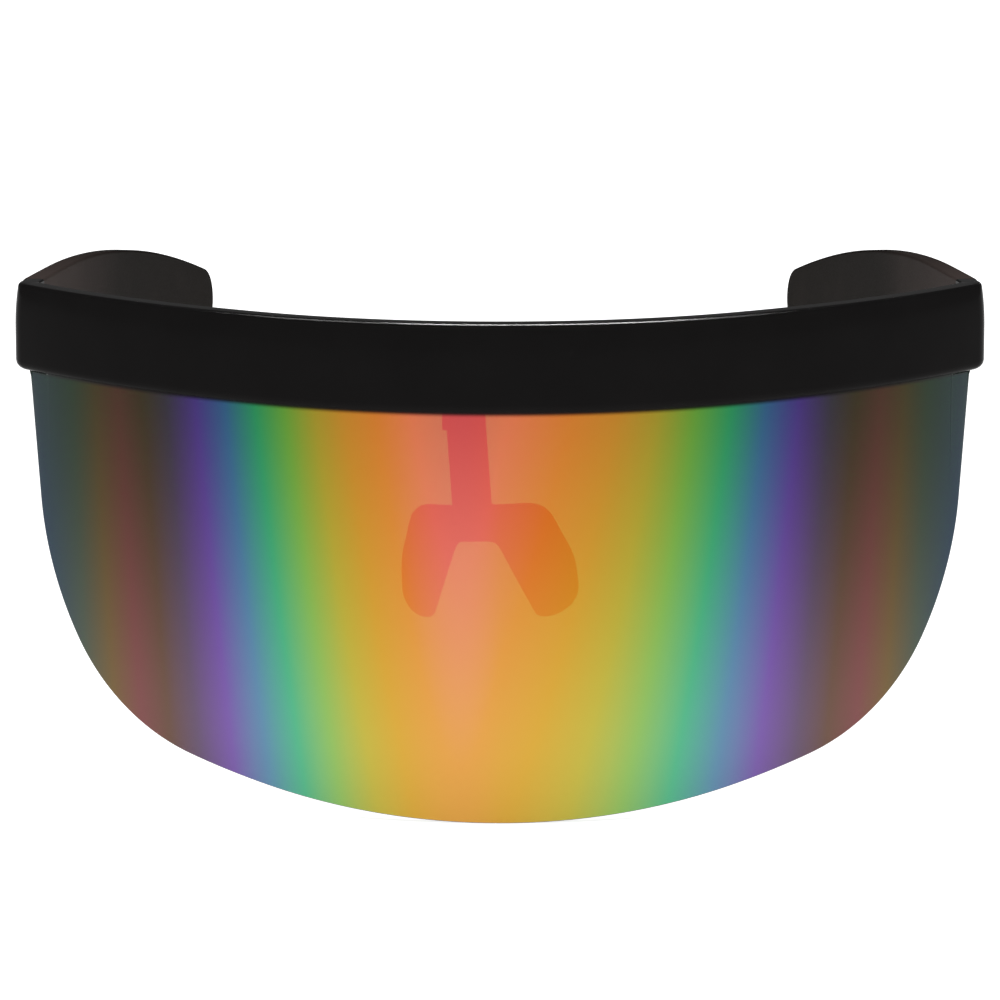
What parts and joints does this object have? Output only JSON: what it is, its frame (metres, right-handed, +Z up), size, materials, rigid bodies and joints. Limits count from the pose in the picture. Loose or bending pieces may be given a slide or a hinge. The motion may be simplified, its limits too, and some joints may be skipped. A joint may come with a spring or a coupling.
{
  "type": "shield sunglasses",
  "caption": "Shield sunglasses: one large mirrored lens hung from a wrapped brow bar, with a nosepiece behind it and broad folding arms.",
  "frame": {"origin": "on the ground plane under the middle of the box round the part, level with the lowest edge of the lens", "axes": "+X to the wearer's left, +Y from the lens back to the tips of the arms, +Z up; the lens faces -Y"},
  "size_m": [0.1566, 0.168, 0.0783],
  "materials": {
    "bar_plastic": "black moulded nylon, satin sheen with a bright bevel along the top edge",
    "lens": "polycarbonate with a gold mirror coating that runs through green and blue to violet towards the sides",
    "nose_plastic": "black moulded nylon, matte",
    "arm_plastic": "brown-black moulded nylon, matte",
    "steel": "turned and brushed stainless steel"
  },
  "bodies": {
    "front": {"brow_bar": "bar_plastic", "shield_lens": "lens", "lens_screws": "steel", "nosepiece": "nose_plastic", "nosepiece_screw": "steel", "lug_hinge_leaf_left": "steel", "lug_hinge_leaf_right": "steel", "hinge_screw_left": "steel", "hinge_screw_right": "steel", "lug_leaf_screws_left": "steel", "lug_leaf_screws_right": "steel"},
    "left_arm": {"arm_left": "arm_plastic", "arm_hinge_leaf_left": "steel", "arm_leaf_screws_left": "steel"},
    "right_arm": {"arm_right": "arm_plastic", "arm_hinge_leaf_right": "steel", "arm_leaf_screws_right": "steel"}
  },
  "joints": [
    {"name": "left_hinge", "type": "hinge", "parent": "front", "child": "left_arm", "pos_m": [0.07297, -0.02888, 0.0705], "axis": [0, 0, 1], "range_deg": [0, 90]},
    {"name": "right_hinge", "type": "hinge", "parent": "front", "child": "right_arm", "pos_m": [-0.07297, -0.02888, 0.0705], "axis": [0, 0, -1], "range_deg": [0, 74]}
  ]
}
